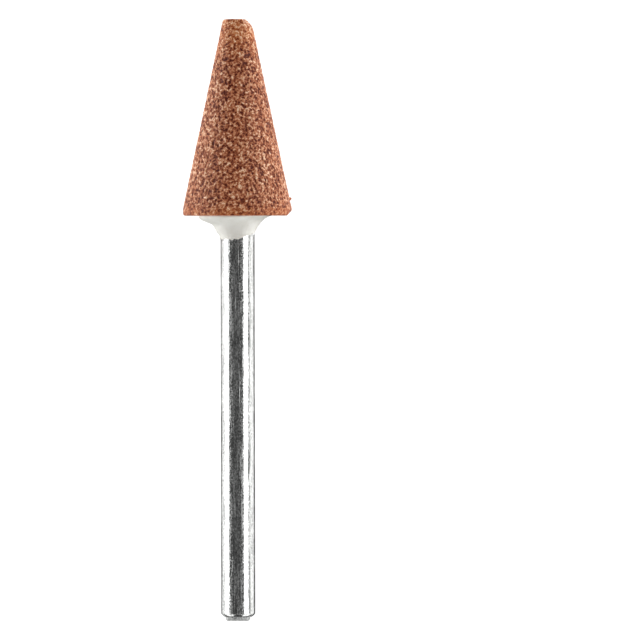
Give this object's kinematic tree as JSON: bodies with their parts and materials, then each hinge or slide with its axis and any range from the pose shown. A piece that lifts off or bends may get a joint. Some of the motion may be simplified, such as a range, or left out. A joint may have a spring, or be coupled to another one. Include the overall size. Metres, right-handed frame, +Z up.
{
  "type": "mounted point",
  "caption": "Conical abrasive stone with a flat chipped tip, cemented on a plain steel shank for a rotary grinding tool, lying at rest.",
  "frame": {"origin": "on the surface the point lies on, under the middle of its bounding box", "axes": "+Y from the shank's free end towards the stone's tip, as seen from above, and +Z up; the shank's axis lies in the YZ plane and rises 5.1 degrees towards the tip"},
  "size_m": [0.01, 0.0558, 0.0101],
  "materials": {
    "abrasive": "coarse, matte",
    "steel": "drawn, bright",
    "cement": "satin"
  },
  "bodies": {
    "root": {"abrasive_head": "abrasive", "steel_shank": "steel", "cement_collar": "cement"}
  },
  "joints": []
}
